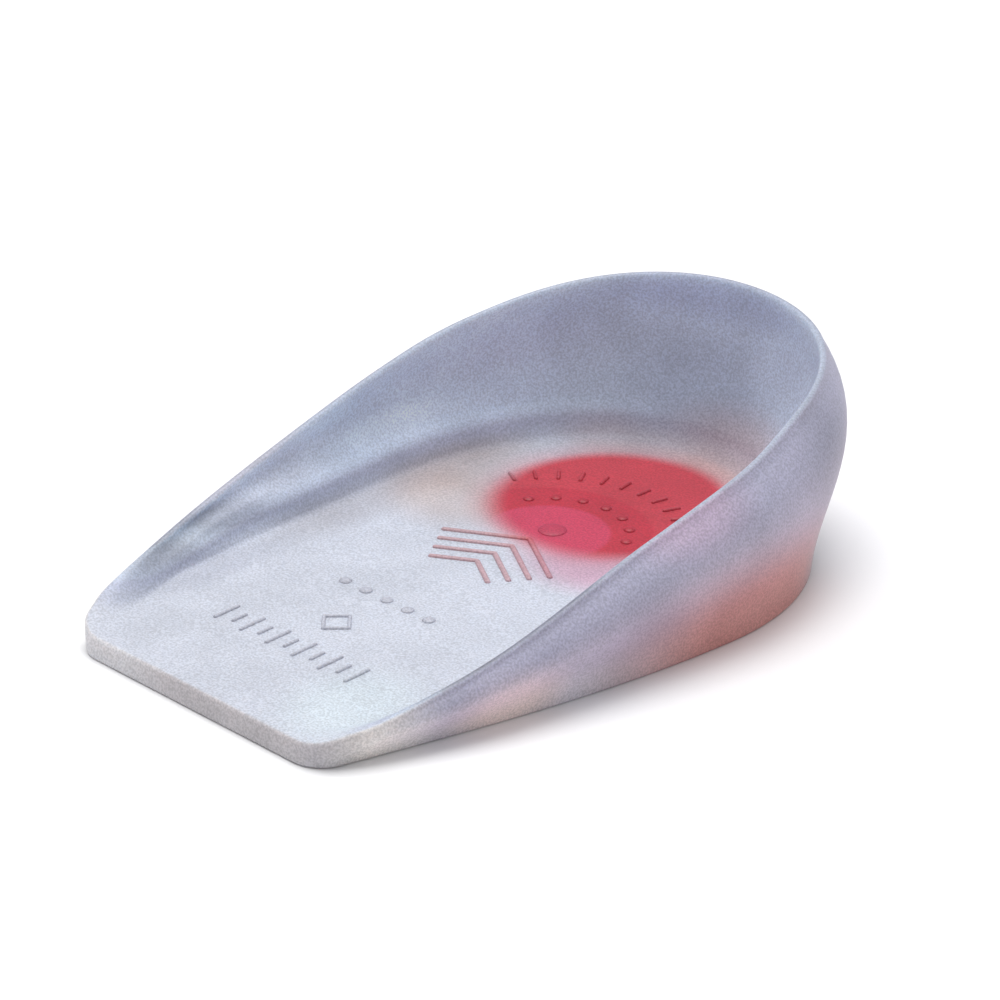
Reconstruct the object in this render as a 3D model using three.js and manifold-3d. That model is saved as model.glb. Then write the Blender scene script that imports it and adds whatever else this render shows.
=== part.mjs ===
// Silicone heel cup: a clear moulded cup with a softer red plug under the heel.
// Millimetres, +Z up. The sole lies on z = 0, the thin front end points to -Y and the heel to +Y.
// The cup is first built with its front edge on y = 0, and is centred over the origin at the end.
import * as THREE from "three";
import * as BufferGeometryUtils from "three/addons/utils/BufferGeometryUtils.js";
import Module from "manifold-3d";

// Driving dimensions of the sole's outline
const soleLength = 102.9;
const frontHalfWidth = 23.8;
const heelHalfWidth = 32.6;
const heelArcLength = 36.8;
const frontCornerRadius = 4.8;
const heelSquareness = 2.04;

// Driving dimensions of the wall
const heelHeight = 30.3;
const frontHeight = 3.2;
const rimLean = 2.9;
const wallBulge = 3.75;
const bulgeLevel = 1.73;
const bulgeFullness = 0.9;
const rimWidth = 1.1;
const soleEdgeRadius = 0.5;

// Driving dimensions of the inside. A wall as low as lipDepth is one soft slope that ends lipReach
// from the rim, and one as high as fullBowlDepth has the whole bowl: a steep foot, a shoulder and
// a thin upper wall.
const floorThickness = 5.6;
const lipDepth = 1.5;
const lipReach = 4.6;
const fullBowlDepth = 7.3;
const shoulderHeight = 5.4;
const shoulderThickness = 4.2;
const shoulderSoftness = 2.4;
const floorDish = 6;
const leastDepth = 0.01;
const footWallThickness = 6.4;
const frontShoulderThickness = 1.8;
const frontFootThickness = 2.4;
const innerHollow = 1.0;
const frontSpread = 20.5;

// Driving dimensions of the plug and its recess. plugInset is from the back of the sole to the
// plug's middle.
const plugRadius = 16.6;
const plugHeight = 3.9;
const plugEdgeRadius = 1.1;
const plugInset = 26.2;
const plugClearance = 0.3;

// Driving dimensions of the raised relief on the floor. Places are from the front edge, and
// chevronInset is from the back of the sole. The arcs share a centre ahead of the plug's middle.
const reliefHeight = 0.35;
const reliefRoot = 0.7;
const lineWidth = 0.8;
const ribPlace = 17;
const ribPitch = 2.5;
const longRibReach = 2.3;
const shortRibReach = 1.4;
const diamondPlace = 25;
const diamondReach = 2.4;
const pipPlace = 34;
const pipPitch = 4;
const pipRadius = 1.3;
const chevronInset = 42.4;
const chevronPitch = 3.3;
const longChevronReach = 10.5;
const shortChevronReach = 5.8;
const chevronGap = 1.1;
const arcCentreShift = 11.8;
const tickInner = 16.6;
const tickOuter = 19.4;
const arcPipDistance = 10.5;
const arcPipRadius = 1.1;
const middlePipRadius = 2.2;
const middlePipShift = 1;
const ribCount = 11;
const pipCount = 5;
const chevronCount = 4;
const chevronDropShare = 0.62;
const tickCount = 13;
const arcPipCount = 7;
const arcSpread = Math.PI * 0.7;

// How the wall changes from the front edge (along 0) to the back of the heel (along 1).
// height is a share of the way from frontHeight to heelHeight, lean a share of rimLean and bulge a
// share of wallBulge. body is a share of the way from the front thicknesses to the full ones, and
// ledge is 1 where the bowl has its shoulder and 0 where it is one smooth round.
const wallStations = [
  { along: 0.00, height: 0.000, lean: -0.32, bulge: 0.00, body: 0.00, ledge: 1.00 },
  { along: 0.04, height: 0.050, lean: 0.07, bulge: 0.10, body: 0.00, ledge: 1.00 },
  { along: 0.08, height: 0.085, lean: 0.29, bulge: 0.25, body: 0.05, ledge: 1.00 },
  { along: 0.16, height: 0.160, lean: 0.16, bulge: 0.52, body: 0.30, ledge: 1.00 },
  { along: 0.25, height: 0.255, lean: -0.05, bulge: 0.75, body: 0.75, ledge: 1.00 },
  { along: 0.50, height: 0.555, lean: -0.92, bulge: 0.95, body: 1.00, ledge: 1.00 },
  { along: 0.75, height: 0.797, lean: -1.08, bulge: 1.00, body: 1.00, ledge: 0.70 },
  { along: 1.00, height: 1.000, lean: 0.50, bulge: 1.00, body: 1.00, ledge: 0.00 },
];

// Floor level: a share of the way from frontHeight to floorThickness
const floorStations = [
  { along: 0.00, rise: 0.00 },
  { along: 0.10, rise: 0.22 },
  { along: 0.30, rise: 0.60 },
  { along: 0.60, rise: 0.92 },
  { along: 1.00, rise: 1.00 },
];

// The bowl under its shoulder: level over the floor is a share of shoulderHeight. reach is a share
// of the way from the shoulder's thickness to the foot's, and roundReach the same without a ledge.
const bowlRows = [
  { level: 1.00, reach: 0.00, roundReach: 0.00 },
  { level: 0.82, reach: 0.55, roundReach: 0.18 },
  { level: 0.64, reach: 0.92, roundReach: 0.42 },
  { level: 0.40, reach: 1.10, roundReach: 0.80 },
  { level: 0.18, reach: 1.33, roundReach: 1.35 },
  { level: 0.10, reach: 2.00, roundReach: 2.00 },
];

// Fineness of the mesh
const frontSteps = 6;
const cornerSteps = 4;
const flankSteps = 14;
const heelSteps = 18;
const wallSteps = 7;
const rimSteps = 2;
const upperWallSteps = 4;
const floorRings = [0.9, 0.76, 0.58, 0.38, 0.18];
const edgeSteps = 3;
const middleAlong = 0.56;
const plugSides = 48;
const pipSides = 10;
const middlePipSides = 14;
const mergeDistance = 1e-5;

const wasm = await Module();
wasm.setup();

// Smooth value of a table's column at a share along the cup, with no overshoot between the rows
function readTable(table, column, along) {
  const at = Math.min(Math.max(along, 0), 1);
  const last = table.length - 1;
  const slope = (i) => (table[i + 1][column] - table[i][column]) / (table[i + 1].along - table[i].along);
  const tangent = (i) => {
    if (i === 0) return slope(0);
    if (i === last) return slope(last - 1);
    const before = slope(i - 1);
    const after = slope(i);
    return before * after <= 0 ? 0 : (2 * before * after) / (before + after);
  };
  let row = 0;
  while (row < last - 1 && at > table[row + 1].along) row += 1;
  const span = table[row + 1].along - table[row].along;
  const t = (at - table[row].along) / span;
  const low = table[row][column];
  const high = table[row + 1][column];
  const rise = low * (2 * t ** 3 - 3 * t ** 2 + 1) + high * (3 * t ** 2 - 2 * t ** 3);
  return rise + span * (tangent(row) * (t ** 3 - 2 * t ** 2 + t) + tangent(row + 1) * (t ** 3 - t ** 2));
}

// Half of the sole's outline, from the middle of the front edge round to the back of the heel
function halfOutline() {
  const heelStart = soleLength - heelArcLength;
  const flankRise = ((heelHalfWidth - frontHalfWidth) * Math.PI) / 2;
  const flankAngle = Math.atan(flankRise / (heelStart - frontCornerRadius));
  const cornerX = frontHalfWidth - frontCornerRadius * Math.cos(flankAngle);
  const flankStart = frontCornerRadius - frontCornerRadius * Math.sin(flankAngle);
  const points = [];
  for (let i = 0; i < frontSteps; i += 1) {
    points.push(new THREE.Vector2((cornerX * i) / frontSteps, 0));
  }
  for (let i = 0; i < cornerSteps; i += 1) {
    const angle = -Math.PI / 2 + ((Math.PI / 2 - flankAngle) * i) / cornerSteps;
    const x = cornerX + frontCornerRadius * Math.cos(angle);
    const y = frontCornerRadius + frontCornerRadius * Math.sin(angle);
    points.push(new THREE.Vector2(x, y));
  }
  for (let i = 0; i < flankSteps; i += 1) {
    const t = i / flankSteps;
    const x = frontHalfWidth + (heelHalfWidth - frontHalfWidth) * Math.sin((t * Math.PI) / 2);
    points.push(new THREE.Vector2(x, flankStart + (heelStart - flankStart) * t));
  }
  for (let i = 0; i <= heelSteps; i += 1) {
    const angle = ((Math.PI / 2) * i) / heelSteps;
    const x = heelHalfWidth * Math.max(Math.cos(angle), 0) ** (2 / heelSquareness);
    const y = heelStart + heelArcLength * Math.sin(angle) ** (2 / heelSquareness);
    points.push(new THREE.Vector2(i === heelSteps ? 0 : x, y));
  }
  return points;
}

// The whole outline, counter-clockwise seen from above, with the outward normal and the inward way
function outlineStations() {
  const right = halfOutline();
  const left = right.slice(1, -1).reverse().map((point) => new THREE.Vector2(-point.x, point.y));
  const loop = [...right, ...left];
  const heelMeet = soleLength - heelArcLength;
  return loop.map((point, i) => {
    const before = loop[(i + loop.length - 1) % loop.length];
    const after = loop[(i + 1) % loop.length];
    const run = after.clone().sub(before).normalize();
    const meet = new THREE.Vector2(0, THREE.MathUtils.clamp(point.y, frontSpread, heelMeet));
    return {
      point,
      outward: new THREE.Vector2(run.y, -run.x),
      inward: meet.sub(point).normalize(),
      along: THREE.MathUtils.clamp(point.y / soleLength, 0, 1),
    };
  });
}

function rimHeight(along) {
  return frontHeight + (heelHeight - frontHeight) * readTable(wallStations, "height", along);
}

function floorLevel(y) {
  const rise = readTable(floorStations, "rise", y / soleLength);
  return frontHeight + (floorThickness - frontHeight) * rise;
}

// How far the outer face stands out from the sole's outline at a height
function outerOffset(along, z) {
  const share = THREE.MathUtils.clamp(z / rimHeight(along), 0, 1);
  const lean = rimLean * readTable(wallStations, "lean", along) + rimWidth / 2;
  const bulge = wallBulge * readTable(wallStations, "bulge", along);
  return lean * share + bulge * Math.max(Math.sin(Math.PI * share ** bulgeLevel), 0) ** bulgeFullness;
}

// The outside of one upright section: rows of { offset, inset, z } from the sole's edge up the wall
// to the top of the rim. offset runs along the outward normal, inset along the inward way.
function outerSection(along) {
  const rimRadius = rimWidth / 2;
  const wallTop = rimHeight(along) - rimRadius;
  const rimMiddle = outerOffset(along, wallTop) - rimRadius;
  const rows = [];
  for (let i = 0; i < edgeSteps; i += 1) {
    const angle = ((Math.PI / 2) * i) / edgeSteps;
    const z = soleEdgeRadius * (1 - Math.cos(angle));
    rows.push({ offset: outerOffset(along, z) - soleEdgeRadius * (1 - Math.sin(angle)), inset: 0, z });
  }
  for (let i = 0; i <= wallSteps; i += 1) {
    const z = soleEdgeRadius + ((wallTop - soleEdgeRadius) * i) / wallSteps;
    rows.push({ offset: outerOffset(along, z), inset: 0, z });
  }
  for (let i = 1; i <= rimSteps; i += 1) {
    const angle = ((Math.PI / 2) * i) / rimSteps;
    const offset = rimMiddle + rimRadius * Math.cos(angle);
    rows.push({ offset, inset: 0, z: wallTop + rimRadius * Math.sin(angle) });
  }
  return rows;
}

// The inside of a full wall: down from the rim, over the shoulder and down the foot of the bowl
function bowlSection(along, floorEdge, rimMiddle, footOffset) {
  const rimRadius = rimWidth / 2;
  const body = readTable(wallStations, "body", along);
  const innerTop = rimHeight(along) - rimRadius;
  const depth = Math.max(innerTop - floorEdge, leastDepth);
  const fullness = depth / Math.hypot(depth ** 2, fullBowlDepth ** 2) ** 0.5;
  const shoulder = floorEdge + shoulderHeight * fullness;
  const shoulderInset = shoulderThickness * body + frontShoulderThickness * (1 - body);
  const footInset = footWallThickness * body + frontFootThickness * (1 - body);
  const ledge = readTable(wallStations, "ledge", along);
  const rows = [];
  for (let i = 1; i < rimSteps; i += 1) {
    const angle = ((Math.PI / 2) * i) / rimSteps;
    const z = innerTop + rimRadius * Math.cos(angle);
    rows.push({ offset: rimMiddle, inset: rimRadius * Math.sin(angle), z });
  }
  const addInner = (inset, z) => {
    const t = THREE.MathUtils.clamp((innerTop - z) / depth, 0, 1);
    const hollow = innerHollow * fullness * Math.sin(Math.PI * t);
    rows.push({ offset: rimMiddle + (footOffset - rimMiddle) * t + hollow, inset: inset - rimRadius, z });
  };
  for (let i = 0; i < upperWallSteps; i += 1) {
    const t = i / upperWallSteps;
    const inset = rimWidth + (shoulderInset - rimWidth) * t ** shoulderSoftness;
    addInner(inset, innerTop + (shoulder - innerTop) * t);
  }
  bowlRows.forEach(({ level, reach, roundReach }) => {
    const share = THREE.MathUtils.lerp(roundReach, reach, ledge);
    const inset = shoulderInset + (footInset - shoulderInset) * share;
    addInner(inset, floorEdge + (shoulder - floorEdge) * level);
  });
  return rows;
}

// The inside of a low wall near the front: one soft slope from the rim to the floor
function lipSection(along, floorEdge, rimMiddle, footOffset, count) {
  const drop = Math.max(rimHeight(along) - floorEdge, 0);
  const rows = [];
  for (let i = 1; i <= count; i += 1) {
    const t = i / count;
    const offset = rimMiddle + (footOffset - rimMiddle) * t;
    const z = floorEdge + drop * (1 - THREE.MathUtils.smoothstep(t, 0, 1));
    rows.push({ offset, inset: lipReach * t, z });
  }
  return rows;
}

// One upright section of the cup at a station, from the sole's edge over the rim to the floor
function sectionAt({ point, outward, inward, along }) {
  const rimRadius = rimWidth / 2;
  const floorEdge = floorLevel(point.y);
  const rimMiddle = outerOffset(along, rimHeight(along) - rimRadius) - rimRadius;
  const footOffset = outerOffset(along, floorEdge) - rimRadius;
  const bowl = bowlSection(along, floorEdge, rimMiddle, footOffset);
  const lip = lipSection(along, floorEdge, rimMiddle, footOffset, bowl.length);
  const fullness = THREE.MathUtils.smoothstep(rimHeight(along) - floorEdge, lipDepth, fullBowlDepth);
  const inner = bowl.map((row, i) => ({
    offset: THREE.MathUtils.lerp(lip[i].offset, row.offset, fullness),
    inset: THREE.MathUtils.lerp(lip[i].inset, row.inset, fullness),
    z: THREE.MathUtils.lerp(lip[i].z, row.z, fullness),
  }));
  return [...outerSection(along), ...inner].map(({ offset, inset, z }) => {
    const x = point.x + outward.x * offset + inward.x * inset;
    const y = point.y + outward.y * offset + inward.y * inset;
    return new THREE.Vector3(x, y, z);
  });
}

// A closed skin over rings of equal length, closed by a fan at each end
function skinOverRings(rings, firstPole, lastPole) {
  const count = rings[0].length;
  const positions = [];
  const indices = [];
  rings.forEach((ring) => ring.forEach((point) => positions.push(point.x, point.y, point.z)));
  for (let r = 0; r + 1 < rings.length; r += 1) {
    for (let i = 0; i < count; i += 1) {
      const next = (i + 1) % count;
      const low = r * count;
      const high = (r + 1) * count;
      indices.push(low + i, low + next, high + next, low + i, high + next, high + i);
    }
  }
  const firstIndex = positions.length / 3;
  positions.push(firstPole.x, firstPole.y, firstPole.z);
  positions.push(lastPole.x, lastPole.y, lastPole.z);
  const lastRing = (rings.length - 1) * count;
  for (let i = 0; i < count; i += 1) {
    const next = (i + 1) % count;
    indices.push(firstIndex, next, i);
    indices.push(firstIndex + 1, lastRing + i, lastRing + next);
  }
  const geometry = new THREE.BufferGeometry();
  geometry.setAttribute("position", new THREE.Float32BufferAttribute(positions, 3));
  geometry.setIndex(indices);
  return geometry;
}

// The cup without its recess and its relief
function buildShell() {
  const stations = outlineStations();
  const sections = stations.map(sectionAt);
  const rings = sections[0].map((unused, level) => sections.map((section) => section[level]));
  const floorEdge = rings[rings.length - 1];
  const middleY = soleLength * middleAlong;
  floorRings.forEach((share) => {
    const ring = floorEdge.map((edge) => {
      const y = middleY + (edge.y - middleY) * share;
      const dish = (edge.z - floorLevel(edge.y)) * share ** floorDish;
      return new THREE.Vector3(edge.x * share, y, floorLevel(y) + dish);
    });
    rings.push(ring);
  });
  const soleMiddle = new THREE.Vector3(0, middleY, 0);
  const floorMiddle = new THREE.Vector3(0, middleY, floorLevel(middleY));
  return skinOverRings(rings, soleMiddle, floorMiddle);
}

function toSolid(geometry) {
  const bare = geometry.clone();
  bare.deleteAttribute("normal");
  bare.deleteAttribute("uv");
  const merged = BufferGeometryUtils.mergeVertices(bare, mergeDistance);
  const vertProperties = new Float32Array(merged.attributes.position.array);
  const triVerts = new Uint32Array(merged.index.array);
  return new wasm.Manifold(new wasm.Mesh({ numProp: 3, vertProperties, triVerts }));
}

function toGeometry(solid) {
  const mesh = solid.getMesh();
  const geometry = new THREE.BufferGeometry();
  geometry.setAttribute("position", new THREE.BufferAttribute(new Float32Array(mesh.vertProperties), 3));
  geometry.setIndex(new THREE.BufferAttribute(new Uint32Array(mesh.triVerts), 1));
  geometry.computeVertexNormals();
  return geometry;
}

// A round disc with a rounded upper edge, standing on z = low
function roundedDisc(radius, low, height, edgeRadius) {
  const profile = [new THREE.Vector2(0, low), new THREE.Vector2(radius, low)];
  for (let i = 0; i <= edgeSteps; i += 1) {
    const angle = ((Math.PI / 2) * i) / edgeSteps;
    const x = radius - edgeRadius + edgeRadius * Math.cos(angle);
    profile.push(new THREE.Vector2(x, height - edgeRadius + edgeRadius * Math.sin(angle)));
  }
  profile.push(new THREE.Vector2(0, height));
  return new THREE.LatheGeometry(profile, plugSides).rotateX(Math.PI / 2);
}

function buildPlug() {
  const disc = roundedDisc(plugRadius, 0, plugHeight, plugEdgeRadius);
  return disc.translate(0, soleLength - plugInset, 0);
}

// The recess is the plug grown by its clearance, and runs out through the sole
function buildRecess() {
  const radius = plugRadius + plugClearance;
  const edgeRadius = plugEdgeRadius + plugClearance;
  const disc = roundedDisc(radius, -plugHeight, plugHeight + plugClearance, edgeRadius);
  return disc.translate(0, soleLength - plugInset, 0);
}

// A raised bar between two points of the floor, rooted under its surface
function reliefBar(from, to, width) {
  const middle = from.clone().add(to).multiplyScalar(0.5);
  const length = from.distanceTo(to);
  const turn = Math.atan2(to.y - from.y, to.x - from.x);
  const bar = new THREE.BoxGeometry(length, width, reliefHeight + reliefRoot);
  bar.rotateZ(turn);
  return bar.translate(middle.x, middle.y, floorLevel(middle.y) + (reliefHeight - reliefRoot) / 2);
}

function reliefPip(x, y, radius, sides = pipSides) {
  const pip = new THREE.CylinderGeometry(radius, radius, reliefHeight + reliefRoot, sides);
  pip.rotateX(Math.PI / 2);
  return pip.translate(x, y, floorLevel(y) + (reliefHeight - reliefRoot) / 2);
}

// Short grip ribs side by side across the thin front end, long and short in turn
function frontRibs() {
  const ribs = [];
  for (let i = 0; i < ribCount; i += 1) {
    const x = (i - (ribCount - 1) / 2) * ribPitch;
    const reach = i % 2 === 0 ? longRibReach : shortRibReach;
    const from = new THREE.Vector2(x, ribPlace - reach);
    ribs.push(reliefBar(from, new THREE.Vector2(x, ribPlace + reach), lineWidth));
  }
  return ribs;
}

// One small open diamond behind the ribs
function middleDiamond() {
  const bars = [];
  const cornerAt = (i) => {
    const angle = (Math.PI / 2) * i;
    return new THREE.Vector2(diamondReach * Math.cos(angle), diamondPlace + diamondReach * Math.sin(angle));
  };
  for (let i = 0; i < 4; i += 1) {
    bars.push(reliefBar(cornerAt(i), cornerAt(i + 1), lineWidth));
  }
  return bars;
}

// A row of round pips
function pipRow() {
  const pips = [];
  for (let i = 0; i < pipCount; i += 1) {
    pips.push(reliefPip((i - (pipCount - 1) / 2) * pipPitch, pipPlace, pipRadius));
  }
  return pips;
}

// Nested chevrons that point at the heel. Their ends fall behind their points by a share of their
// reach to each side.
function chevrons() {
  const bars = [];
  for (let i = 0; i < chevronCount; i += 1) {
    const reach = THREE.MathUtils.lerp(longChevronReach, shortChevronReach, i / (chevronCount - 1));
    const tipY = soleLength - chevronInset - chevronPitch * i;
    [-1, 1].forEach((side) => {
      const inner = new THREE.Vector2(side * chevronGap, tipY - chevronGap * chevronDropShare);
      const outer = new THREE.Vector2(side * reach, tipY - reach * chevronDropShare);
      bars.push(reliefBar(inner, outer, lineWidth));
    });
  }
  return bars;
}

// Ticks in an arc over the plug, with an arc of pips and one large pip inside it
function heelArc() {
  const place = soleLength - plugInset - arcCentreShift;
  const shapes = [];
  const wayAt = (i, count) => {
    const angle = Math.PI / 2 + arcSpread * (i / (count - 1) - 0.5);
    return new THREE.Vector2(Math.cos(angle), Math.sin(angle));
  };
  for (let i = 0; i < tickCount; i += 1) {
    const way = wayAt(i, tickCount);
    const from = new THREE.Vector2(0, place).addScaledVector(way, tickInner);
    const to = new THREE.Vector2(0, place).addScaledVector(way, tickOuter);
    shapes.push(reliefBar(from, to, lineWidth));
  }
  for (let i = 0; i < arcPipCount; i += 1) {
    const way = wayAt(i, arcPipCount).multiplyScalar(arcPipDistance);
    shapes.push(reliefPip(way.x, place + way.y, arcPipRadius));
  }
  shapes.push(reliefPip(0, place + middlePipShift, middlePipRadius, middlePipSides));
  return shapes;
}

function buildBody() {
  let solid = toSolid(buildShell()).subtract(toSolid(buildRecess()));
  const relief = [...frontRibs(), ...middleDiamond(), ...pipRow(), ...chevrons(), ...heelArc()];
  relief.forEach((shape) => {
    solid = solid.add(toSolid(shape));
  });
  return toGeometry(solid);
}

const clearSilicone = new THREE.MeshStandardMaterial({ color: 0xd3d8e6, roughness: 0.55, metalness: 0 });
const redSilicone = new THREE.MeshStandardMaterial({ color: 0xd04c60, roughness: 0.5, metalness: 0 });

const bodyGeometry = buildBody();
const plugGeometry = buildPlug();
bodyGeometry.computeBoundingBox();
const middle = bodyGeometry.boundingBox.getCenter(new THREE.Vector3());

const cupBody = new THREE.Mesh(bodyGeometry, clearSilicone);
cupBody.name = "cup_body";
const heelPlug = new THREE.Mesh(plugGeometry, redSilicone);
heelPlug.name = "heel_plug";

const heelCup = new THREE.Group();
heelCup.add(cupBody, heelPlug);
heelCup.position.set(-middle.x, -middle.y, 0);

export default heelCup;
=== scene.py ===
# Silicone heel cup on a pale table, seen over its near front corner.
import math

import bpy
from mathutils import Matrix, Vector


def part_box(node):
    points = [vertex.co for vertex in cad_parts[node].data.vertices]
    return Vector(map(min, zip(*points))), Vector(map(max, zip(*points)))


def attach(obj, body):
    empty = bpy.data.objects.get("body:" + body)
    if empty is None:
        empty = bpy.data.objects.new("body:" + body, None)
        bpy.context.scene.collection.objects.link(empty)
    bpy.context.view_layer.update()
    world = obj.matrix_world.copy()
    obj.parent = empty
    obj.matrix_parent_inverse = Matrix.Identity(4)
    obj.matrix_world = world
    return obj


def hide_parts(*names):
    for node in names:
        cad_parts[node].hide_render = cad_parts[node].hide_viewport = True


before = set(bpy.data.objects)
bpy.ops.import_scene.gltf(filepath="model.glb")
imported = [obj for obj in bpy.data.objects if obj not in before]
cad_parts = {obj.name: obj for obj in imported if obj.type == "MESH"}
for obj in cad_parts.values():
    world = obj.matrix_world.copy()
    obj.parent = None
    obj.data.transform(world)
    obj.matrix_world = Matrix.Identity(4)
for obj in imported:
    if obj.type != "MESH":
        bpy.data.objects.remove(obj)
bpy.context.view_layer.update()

cupLow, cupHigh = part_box("cup_body")
plugLow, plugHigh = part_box("heel_plug")
mm = 0.001
print("frame loaded, cup is", [round(size / mm, 1) for size in cupHigh - cupLow], "mm")


# Camera, set first so that every later step can be checked against the same view
photoView = {
    "azimuth": 45.0,
    "elevation": 24.65,
    "distance": 588 * mm,
    "target": (0.0, -2.74 * mm, 11.76 * mm),
    "focal": 158.6,      # mm, like the sensor
    "sensor": 36.0,
    "roll": 1.5,
    "shift": (0.0179, 0.0155),
    "nearest": 0.01,
    "farthest": 20.0,
}


def placeCamera(view):
    around, above = math.radians(view["azimuth"]), math.radians(view["elevation"])
    level = math.cos(above)
    back = Vector((math.sin(around) * level, -math.cos(around) * level, math.sin(above)))
    right = Vector((math.cos(around), math.sin(around), 0.0))
    up = back.cross(right)
    tilt = math.radians(view["roll"])
    turnedRight = right * math.cos(tilt) + up * math.sin(tilt)
    turnedUp = up * math.cos(tilt) - right * math.sin(tilt)
    place = Vector(view["target"]) + back * view["distance"]
    camera = bpy.data.objects.new("photo_camera", bpy.data.cameras.new("photo_camera"))
    bpy.context.scene.collection.objects.link(camera)
    camera.matrix_world = Matrix((
        (turnedRight.x, turnedUp.x, back.x, place.x),
        (turnedRight.y, turnedUp.y, back.y, place.y),
        (turnedRight.z, turnedUp.z, back.z, place.z),
        (0.0, 0.0, 0.0, 1.0),
    ))
    camera.data.sensor_width = view["sensor"]
    camera.data.lens = view["focal"]
    camera.data.shift_x, camera.data.shift_y = view["shift"]
    camera.data.clip_start, camera.data.clip_end = view["nearest"], view["farthest"]
    bpy.context.scene.camera = camera


placeCamera(photoView)
print("camera placed")


# The cup's own sizes. Its length and height follow the frame's box.
cupShape = {
    "frontSetBack": 0.059 * mm,       # how far the front face stands back from the sole's outline
    "heelOverhang": 5.124 * mm,       # how far the heel's wall reaches past it
    "frontHalfWidth": 23.8 * mm,
    "heelHalfWidth": 32.6 * mm,
    "heelArcLength": 36.8 * mm,
    "frontCornerRadius": 4.8 * mm,
    "heelSquareness": 2.04,
    "frontHeight": 3.2 * mm,
    "rimLean": 2.9 * mm,
    "wallBulge": 3.75 * mm,
    "bulgeLevel": 1.73,
    "bulgeFullness": 0.9,
    "rimWidth": 1.1 * mm,
    "soleEdgeRadius": 0.5 * mm,
    "floorThickness": 5.6 * mm,
    "shoulderHeight": 5.4 * mm,
    "lipDepth": 1.5 * mm,             # a wall this low is one soft slope inside
    "lipReach": 4.6 * mm,
    "fullBowlDepth": 7.3 * mm,        # and one this high has the whole bowl
    "shoulderThickness": 4.2 * mm,
    "footWallThickness": 6.4 * mm,
    "shoulderSoftness": 2.4,
    "frontShoulderThickness": 1.8 * mm,
    "frontFootThickness": 2.4 * mm,
    "frontSpread": 20.5 * mm,
    "innerHollow": 1.0 * mm,          # how far the inside swells between the floor and the rim
    "floorMiddle": 0.56,              # where along the sole the floor's rings close
    "innerDepthLeast": 0.01 * mm,     # keeps the inner wall's rows apart at the front
    "floorSpacing": 1.2,              # above 1, the floor's rings lie closer to its edge
    "floorBlend": 6,                  # how quickly the floor's edge blends into its own level
    "plugClearance": 0.3 * mm,
    "paintedShadeStart": 0.8 * mm,            # the walls' painted light and shade fade out where the wall is this low
    "paintedShadeFull": 4.5 * mm,
}
# From the front edge to the back of the heel: rim height, lean, bulge and wall body as shares.
# A ledge of 1 gives the bowl its shoulder, and 0 makes it one smooth round.
wallStations = [
    {"along": 0.00, "height": 0.000, "lean": -0.32, "bulge": 0.00, "body": 0.00, "ledge": 1.0},
    {"along": 0.04, "height": 0.050, "lean": 0.07, "bulge": 0.10, "body": 0.00, "ledge": 1.0},
    {"along": 0.08, "height": 0.085, "lean": 0.29, "bulge": 0.25, "body": 0.05, "ledge": 1.0},
    {"along": 0.16, "height": 0.160, "lean": 0.16, "bulge": 0.52, "body": 0.30, "ledge": 1.0},
    {"along": 0.25, "height": 0.255, "lean": -0.05, "bulge": 0.75, "body": 0.75, "ledge": 1.0},
    {"along": 0.50, "height": 0.555, "lean": -0.92, "bulge": 0.95, "body": 1.00, "ledge": 1.0},
    {"along": 0.75, "height": 0.797, "lean": -1.08, "bulge": 1.00, "body": 1.00, "ledge": 0.7},
    {"along": 1.00, "height": 1.000, "lean": 0.50, "bulge": 1.00, "body": 1.00, "ledge": 0.0},
]
# Floor level, as a share of the way from the front edge's height to the full floor
floorStations = [
    {"along": 0.00, "rise": 0.00},
    {"along": 0.10, "rise": 0.22},
    {"along": 0.30, "rise": 0.60},
    {"along": 0.60, "rise": 0.92},
    {"along": 1.00, "rise": 1.00},
]
# The bowl below its shoulder: level over the floor as a share of the shoulder's height,
# reach as a share of the way from the shoulder's thickness to the foot's
bowlRows = [
    {"level": 1.00, "reach": 0.00, "roundReach": 0.00},
    {"level": 0.82, "reach": 0.55, "roundReach": 0.18},
    {"level": 0.64, "reach": 0.92, "roundReach": 0.42},
    {"level": 0.40, "reach": 1.10, "roundReach": 0.80},
    {"level": 0.18, "reach": 1.33, "roundReach": 1.35},
    {"level": 0.10, "reach": 2.00, "roundReach": 2.00},
]
fineness = {"front": 30, "corner": 16, "flank": 70, "heel": 80, "edge": 5,
            "wall": 20, "rim": 6, "upperWall": 16, "bowl": 18, "floor": 24, "recess": 5, "sole": 5}

# The plug, and the recess for it. Rows across them are shares of their radius.
plugShape = {
    "edgeRadius": 1.1 * mm,
    "mouthBevel": 0.25 * mm,
    "bevelSoftening": 0.3,
    "dimple": 0.3 * mm,
    "dimplePower": 6,
    "underRows": (0.3, 0.6, 0.8, 0.9),
    "topRows": (0.6, 0.3),
    "sides": 160,
    "edgeSteps": 8,
}
recessShape = {"roofRows": (0.4, 0.8), "wallRow": 0.4, "mouthChamfer": 0.2 * mm}

heelHeight = cupHigh.z - cupLow.z
frontEdge = cupLow.y - cupShape["frontSetBack"]
soleLength = cupHigh.y - cupShape["heelOverhang"] - frontEdge
heelStart = soleLength - cupShape["heelArcLength"]
plugRadius = (plugHigh.x - plugLow.x) / 2
plugPlace = (plugHigh.y + plugLow.y) / 2 - frontEdge
plugTop = plugHigh.z


def clamp(value, low, high):
    return min(max(value, low), high)


def smoothStep(value, low, high):
    t = clamp((value - low) / (high - low), 0.0, 1.0)
    return t * t * (3 - 2 * t)


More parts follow.
